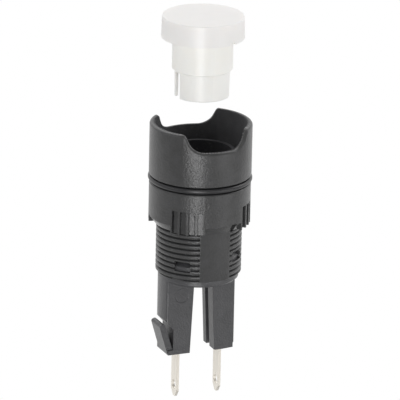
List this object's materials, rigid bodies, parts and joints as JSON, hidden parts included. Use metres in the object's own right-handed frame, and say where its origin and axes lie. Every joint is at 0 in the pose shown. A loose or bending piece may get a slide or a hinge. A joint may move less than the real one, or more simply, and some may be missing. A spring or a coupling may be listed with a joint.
{
  "type": "pushbutton switch",
  "caption": "Round guarded pushbutton switch for a 16 mm panel hole: pull-off translucent lens, ring nut, threaded barrel, and solder tabs on a latching terminal carrier.",
  "frame": {"origin": "on the button's axis, in the plane where the gasket under the guard meets the panel", "axes": "+Z out of the panel towards the lens, -Y towards the flat on the thread and the front finger scoop, -X towards the leg with the latch arm"},
  "size_m": [0.0194, 0.0192, 0.0737],
  "materials": {
    "grey_plastic": "satin moulded dark grey nylon",
    "black_plastic": "satin moulded black plastic",
    "lens_plastic": "translucent milky white plastic",
    "seal_rubber": "matt dark rubber",
    "tinned_brass": "bright tin plate on brass",
    "contact_bronze": "rolled bronze strip",
    "contact_silver": "polished silver alloy",
    "spring_steel": "drawn spring wire"
  },
  "bodies": {
    "housing": {"barrel": "grey_plastic", "terminal_carrier": "grey_plastic", "terminal_left": "tinned_brass", "terminal_right": "tinned_brass", "fixed_contact_left": "contact_silver", "fixed_contact_right": "contact_silver", "return_spring": "spring_steel"},
    "seal": {"gasket": "seal_rubber"},
    "nut": {"ring_nut": "grey_plastic"},
    "button": {"plunger": "black_plastic", "bridge_slider": "black_plastic", "bridge_clip": "spring_steel", "contact_spring": "spring_steel"},
    "bridge": {"contact_bridge": "contact_bronze", "bridge_contact_left": "contact_silver", "bridge_contact_right": "contact_silver"},
    "lens": {"lens_cap": "lens_plastic", "legend_plate": "lens_plastic", "lens_holder": "lens_plastic"}
  },
  "joints": [
    {"name": "button_press", "type": "slide", "parent": "housing", "child": "button", "axis": [0, 0, 1], "range_m": [-0.003, 0], "stiffness_N_per_m": 600, "springref_m": 0.002, "deforming": ["return_spring"]},
    {"name": "bridge_lift", "type": "slide", "parent": "button", "child": "bridge", "axis": [0, 0, 1], "range_m": [0, 0.001], "deforming": ["contact_spring"]},
    {"name": "lens_pull", "type": "slide", "parent": "button", "child": "lens", "axis": [0, 0, 1], "range_m": [-0.0219, 0]},
    {"name": "gasket_slide", "type": "slide", "parent": "housing", "child": "seal", "axis": [0, 0, 1], "range_m": [-0.009, 0]},
    {"name": "nut_turn", "type": "hinge", "parent": "seal", "child": "nut", "pos_m": [0, 0, 0], "axis": [0, 0, 1], "range_deg": [-3240, 0]}
  ],
  "couplings": [
    {"joint": "bridge_lift", "follows": "button_press", "ratio": -0.33333},
    {"joint": "nut_turn", "follows": "gasket_slide", "rad_per_m": 6283.2}
  ]
}
